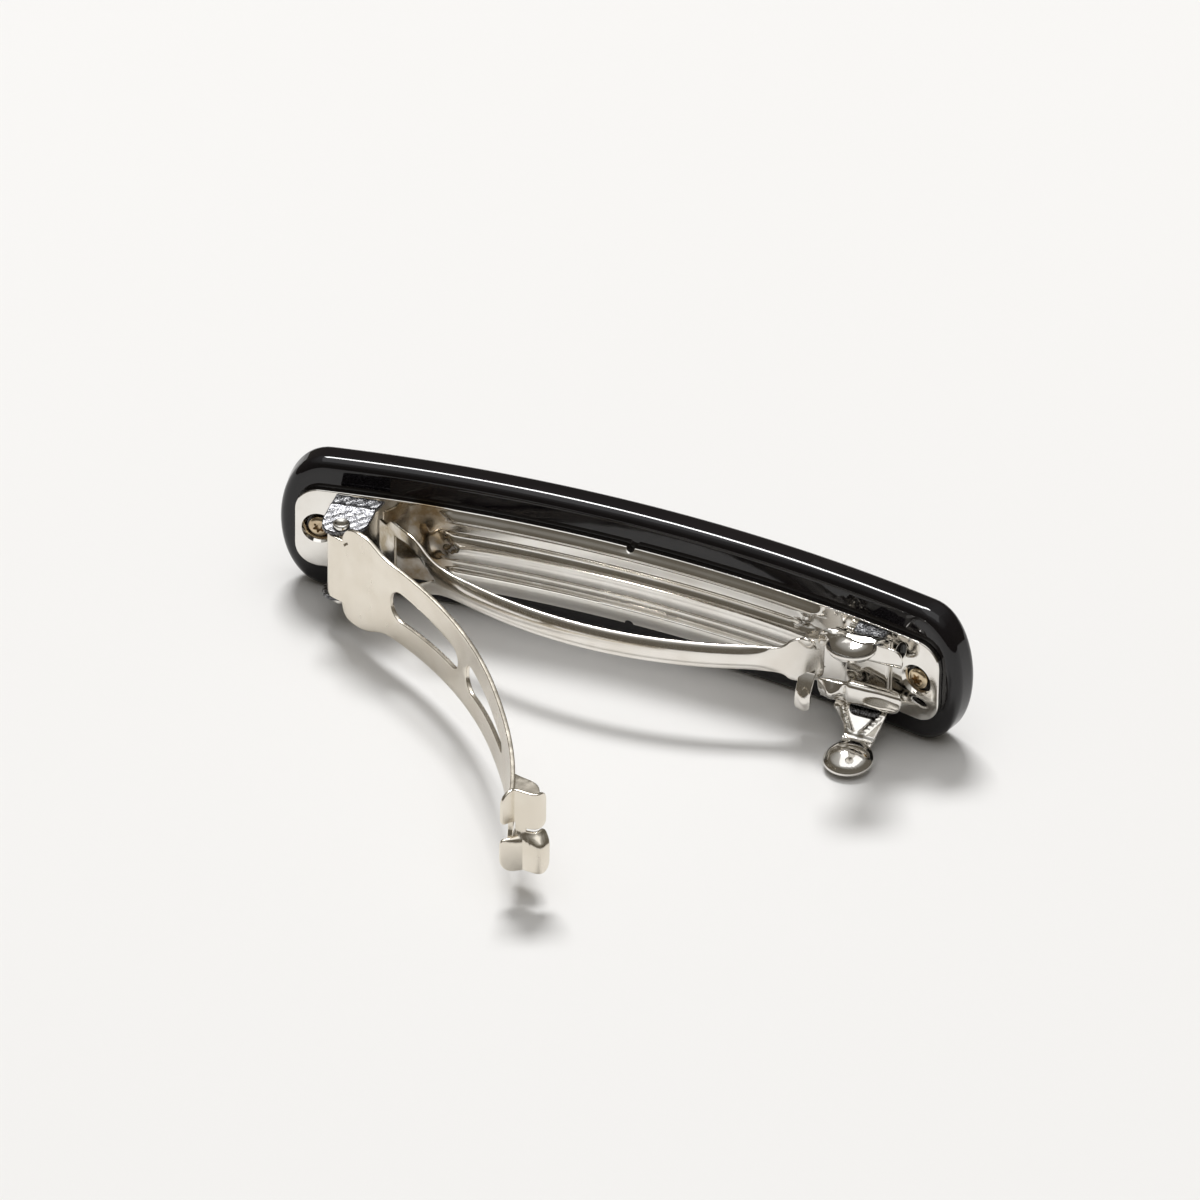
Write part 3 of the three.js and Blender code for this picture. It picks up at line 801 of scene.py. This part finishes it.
def tension_spring():
    left, disc = -30.0, 27.2
    bar, wing = 1.6, 4.0
    side = [(left, 2.9), (left + 1.2, 2.9)]
    side += bezier((left + 1.2, 2.9), (left + 1.8, 2.9), (left + 1.9, wing), (left + 2.8, wing), 6)
    side += [(left + 5.0, wing)]
    taper = [(left + 5.0, wing), (left + 9.0, wing), (left + 8.2, bar), (left + 13.5, bar)]
    side += bezier(*taper, 18)
    side += [(disc - 6.0, bar)]
    side += bezier((disc - 6, bar), (disc - 4.2, bar), (disc - 3.4, 1.7), (disc - 2.9, 2.4), 8)
    side += bezier((disc - 2.9, 2.4), (disc - 2.3, 2.9), (disc - 1.4, 2.9), (disc - 0.6, 2.8), 8)
    side += [(disc + 0.5, 2.6)]
    side += bezier((disc + 0.5, 2.6), (disc + 1.1, 2.5), (disc + 1.2, 2.2), (disc + 1.2, 1.4), 6)
    mirrored = [(x, -y) for x, y in side]
    loop = mirrored + list(reversed(side))
    hole = [(left + 3.2, -2.3), (left + 3.2, 2.3), (left + 5.2, 2.5)]
    hole += bezier((left + 5.2, 2.5), (left + 7.6, 2.4), (left + 8.6, 0.9), (left + 10.2, 0), 10)
    hole += [(x, -y) for x, y in reversed(hole[2:-1])]
    cuts = np.arange(left + 0.8, disc + 2, 0.8)
    points, faces = sheet([loop, hole], 0.4, 0.12, cuts, np.arange(-1.4, 1.5, 0.2))
    x, y = points[:, 0], points[:, 1]
    gutter = smooth(x, left + 8, left + 15) * (1 - smooth(x, disc - 8, disc - 3))
    points[:, 2] -= gutter * 0.62 * np.clip(np.abs(y) / bar, 0, 1.1) ** 2.6
    centre_y = SPRING_APEX[1] + SPRING_RADIUS
    radius = SPRING_RADIUS - 0.2 + points[:, 2]
    angle = x / SPRING_RADIUS
    bent = np.stack(
        [SPRING_APEX[0] + radius * np.sin(angle), centre_y - radius * np.cos(angle), y], 1
    )
    parts = [(bent, faces), spring_lug(1, 2.0), spring_lug(-1, 4.6)]
    points, faces = combined(parts)
    spring = piece("tension_spring_bowed", points, faces, SPRING_STEEL, "base")
    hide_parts("tension_spring")
    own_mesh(spring)


# ---------------------------------------------------------------- catch


def catch_saddle():
    loop = [(27.8, -3.9), (33.6, -3.9), (33.6, 3.9), (27.8, 3.9)]
    height, edge = 0.3 + PLATE_GAP, 0.3
    points, faces = sheet([loop], height, edge, np.arange(28.4, 33.5, 0.6), (), 4)
    saddle = piece("catch_saddle_plate", on_bow(points, 0), faces, BRIGHT, "base")
    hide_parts("catch_saddle")


def catch_bracket(name, side):
    """The crinkled tab, bent off the plate's edge, that the lever springs from."""
    left, right = 29.1, 32.9
    root, inner_face = -2.75, 4.66
    loop = [(left, 0), (left + 0.2, 2.7)]
    loop += bezier((left + 0.2, 2.7), (left + 0.4, 3.3), (left + 0.9, 3.3), (left + 1.2, 3.3), 6)
    loop += [(right - 0.7, 3.3)]
    loop += bezier((right - 0.7, 3.3), (right - 0.2, 3.3), (right, 3.0), (right, 2.6), 6)
    loop += [(right + 0.1, 0)]
    loop.reverse()
    cuts = np.arange(left + 0.3, right, 0.3)
    points, faces = sheet([loop], 0.45, 0.1, cuts, np.arange(0.3, 3.3, 0.3))
    dents = 0.03 * np.sin(4.1 * points[:, 0]) * np.sin(3.7 * points[:, 1] + 0.7)
    z = inner_face + points[:, 2] + dents
    shaped = np.stack([points[:, 0], root - points[:, 1], side * z], 1)
    piece(name, shaped, turned_over(faces, side), HAMMERED, "base")


def lever_blade():
    """The root blade, its creased neck and the cupped finger pad, pressed from one strip."""
    middle, radius = (1.0, 8.35), 2.85
    loop = [(3.0, 0), (3.0, 1.9)]
    loop += bezier((3.0, 1.9), (2.9, 3.4), (2.75, 4.4), (2.8, 5.5), 8)
    loop += arc(middle[0], middle[1], radius, -50, 230, 40)
    loop += bezier((-0.83, 6.1), (-0.75, 4.6), (-1.3, 3.5), (-3.3, 1.9), 10)
    loop += [(-3.3, 0)]
    cuts = (np.arange(-3.15, 3.9, 0.25), np.arange(0.25, 11.2, 0.25))
    points, faces = sheet([loop], 0.42, 0.12, *cuts, 3)
    x, run = points[:, 0], points[:, 1]
    r = np.hypot(x - middle[0], run - middle[1]) / radius
    cup = np.where(r < 1.05, 0.9 * np.clip(1 - r**2, 0, 1), 0)
    cup -= 0.3 * ridge(r, 0.98, 0.1) * smooth(run, 5.9, 7.0)
    left = np.abs((x + 2.3) - 0.62 * (run - 1.6))
    right = np.abs((x - 2.5) + 0.42 * (run - 1.6))
    vee = 0.26 * (ridge(left, 0, 0.28) + ridge(right, 0, 0.28))
    vee *= smooth(run, 1.2, 1.9) * (1 - smooth(run, 4.4, 5.2))
    folds = -0.2 * ridge(run, 5.1, 0.22) + 0.16 * ridge(run, 5.7, 0.25)
    points[:, 2] += cup + vee + folds
    path = [(-3.75, 4.4), (-4.1, 4.8), (-8.23, 7.2), (-13.4, 7.75)]
    return follow(points, path), faces


def lever_wing():
    """The wing that grips the arm's tip: it folds off the root, faces the hair and curls back."""
    loop = [(-1.8, 0), (2.4, 0), (2.5, 1.3)]
    loop += bezier((2.5, 1.3), (2.6, 1.75), (3.0, 1.9), (3.5, 1.9), 5)
    loop += bezier((3.5, 1.9), (5.3, 1.95), (5.2, 4.9), (3.9, 5.3), 16)
    loop += bezier((3.9, 5.3), (3.2, 5.4), (2.4, 5.4), (1.6, 5.4), 5)
    loop += [(-3.2, 5.4)]
    loop += bezier((-3.2, 5.4), (-5.4, 5.3), (-5.6, 4.4), (-5.5, 3.4), 10)
    loop += bezier((-5.5, 3.4), (-5.4, 1.5), (-4.6, 1.0), (-3.4, 1.0), 8)
    loop += bezier((-3.4, 1.0), (-2.2, 1.0), (-1.9, 0.8), (-1.8, 0), 6)[:-1]
    cuts = (np.arange(-5.3, 4.7, 0.3), np.arange(0.2, 5.4, 0.15))
    points, faces = sheet([loop], 0.42, 0.14, *cuts, 3)
    x, run = points[:, 0], points[:, 1]
    lean = 0.5 * smooth(-x, 1.6, 2.4) * smooth(run, 1.2, 2.2)
    scoop = -0.8 * dome(x, run, (-3.7, 2.7), (1.0, 1.0))
    swell = 0.1 * dome(x, run, (2.2, 3.1), (1.5, 0.9))
    points[:, 2] += lean + scoop + swell
    path = [(-3.6, 4.62), (-5.2, 4.62), (-5.62, 4.3), (-5.62, 2.2), (-5.1, 1.72), (-3.6, 1.72)]
    return follow(points, path), faces


def catch_lever(name, body, side, node):
    points, faces = combined([lever_blade(), lever_wing()])
    points = (points + np.array([CATCH_X, 0, 0])) * np.array([1, 1, side])
    lever = piece(name, points, turned_over(faces, side), BRIGHT, body)
    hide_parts(node)


acetate_bar()
base_plate()
hinge_ear("hinge_ear_upper", 1)
hinge_ear("hinge_ear_lower", -1)
hinge_pin()
screw("screw_head_left", SCREW_LEFT, "screw_left", 0.35)
screw("screw_head_right", SCREW_RIGHT, "screw_right", 0.1)
clasp_arm()
tension_spring()
catch_saddle()
catch_bracket("catch_bracket_upper", 1)
catch_bracket("catch_bracket_lower", -1)
catch_lever("catch_lever_upper_pressed", "lever_upper", 1, "catch_lever_upper")
catch_lever("catch_lever_lower_pressed", "lever_lower", -1, "catch_lever_lower")


# ---------------------------------------------------------------- floor, light and camera


def studio_floor():
    bpy.ops.mesh.primitive_plane_add(size=6.0, location=(0, 0, 0))
    floor = bpy.context.object
    floor.name = "studio_floor"
    floor.data.materials.append(floor_material())


def softbox(name, place, size, power, colour):
    """A rectangular lamp aimed at the barrette."""
    data = bpy.data.lights.new(name, "AREA")
    data.shape = "RECTANGLE"
    data.size, data.size_y = size
    data.energy = power
    data.color = colour
    lamp = bpy.data.objects.new(name, data)
    lamp.location = place
    aim = Vector((0, -0.02, 0)) - Vector(place)
    lamp.rotation_euler = aim.to_track_quat("-Z", "Y").to_euler()
    bpy.context.scene.collection.objects.link(lamp)


def surroundings():
    """A room that the nickel reflects: pale above, and dim and warm below."""
    world = bpy.data.worlds.new("studio")
    bpy.context.scene.world = world
    world.use_nodes = True
    nodes, links = world.node_tree.nodes, world.node_tree.links
    coordinates = nodes.new("ShaderNodeTexCoord")
    split = nodes.new("ShaderNodeSeparateXYZ")
    links.new(coordinates.outputs["Generated"], split.inputs[0])
    stops = [
        (0.0, (0.1, 0.088, 0.07)),
        (0.55, (0.13, 0.118, 0.098)),
        (0.8, (0.4, 0.395, 0.38)),
        (1.0, (0.5, 0.495, 0.485)),
    ]
    tone = ramp(nodes, links, split.outputs["Z"], stops)
    background = nodes["Background"]
    links.new(tone.outputs["Color"], background.inputs["Color"])
    background.inputs["Strength"].default_value = 1.0


def photo_camera():
    """A long lens on the middle of the plate, at the photograph's angle."""
    azimuth, elevation, roll = (math.radians(v) for v in (22.886, 34.05, 0.972))
    distance = 1435.6
    view_width = 135.992747
    left_of_target, below_target = 3.3975521, 1.6285131  # where the picture's middle lies
    back = Vector(
        (
            math.sin(azimuth) * math.cos(elevation),
            -math.cos(azimuth) * math.cos(elevation),
            math.sin(elevation),
        )
    )
    right = Vector((math.cos(azimuth), math.sin(azimuth), 0))
    up = back.cross(right)
    right, up = (
        right * math.cos(roll) + up * math.sin(roll),
        up * math.cos(roll) - right * math.sin(roll),
    )
    target = Vector((0, FACE, MIDDLE))
    centre = target - right * left_of_target - up * below_target
    place = target + back * distance
    away = (place - centre).normalized()
    side = up.cross(away).normalized()
    top = away.cross(side)
    data = bpy.data.cameras.new("camera")
    camera = bpy.data.objects.new("camera", data)
    bpy.context.scene.collection.objects.link(camera)
    basis = Matrix((side, top, away)).transposed().to_4x4()
    basis.translation = place * MM
    camera.matrix_world = basis
    data.sensor_width = 36
    data.lens = data.sensor_width * distance / view_width
    data.clip_start, data.clip_end = 0.1, 10
    bpy.context.scene.camera = camera
    bpy.context.scene.view_settings.view_transform = "Standard"


studio_floor()
softbox("key_softbox", (-1.05, 1.75, 3.3), (1.3, 0.78), 111.0, (1, 1, 1))
softbox("overhead_softbox", (0.1, 0.0, 3.0), (3.0, 2.8), 20.5, (0.975, 0.985, 1))
surroundings()
photo_camera()
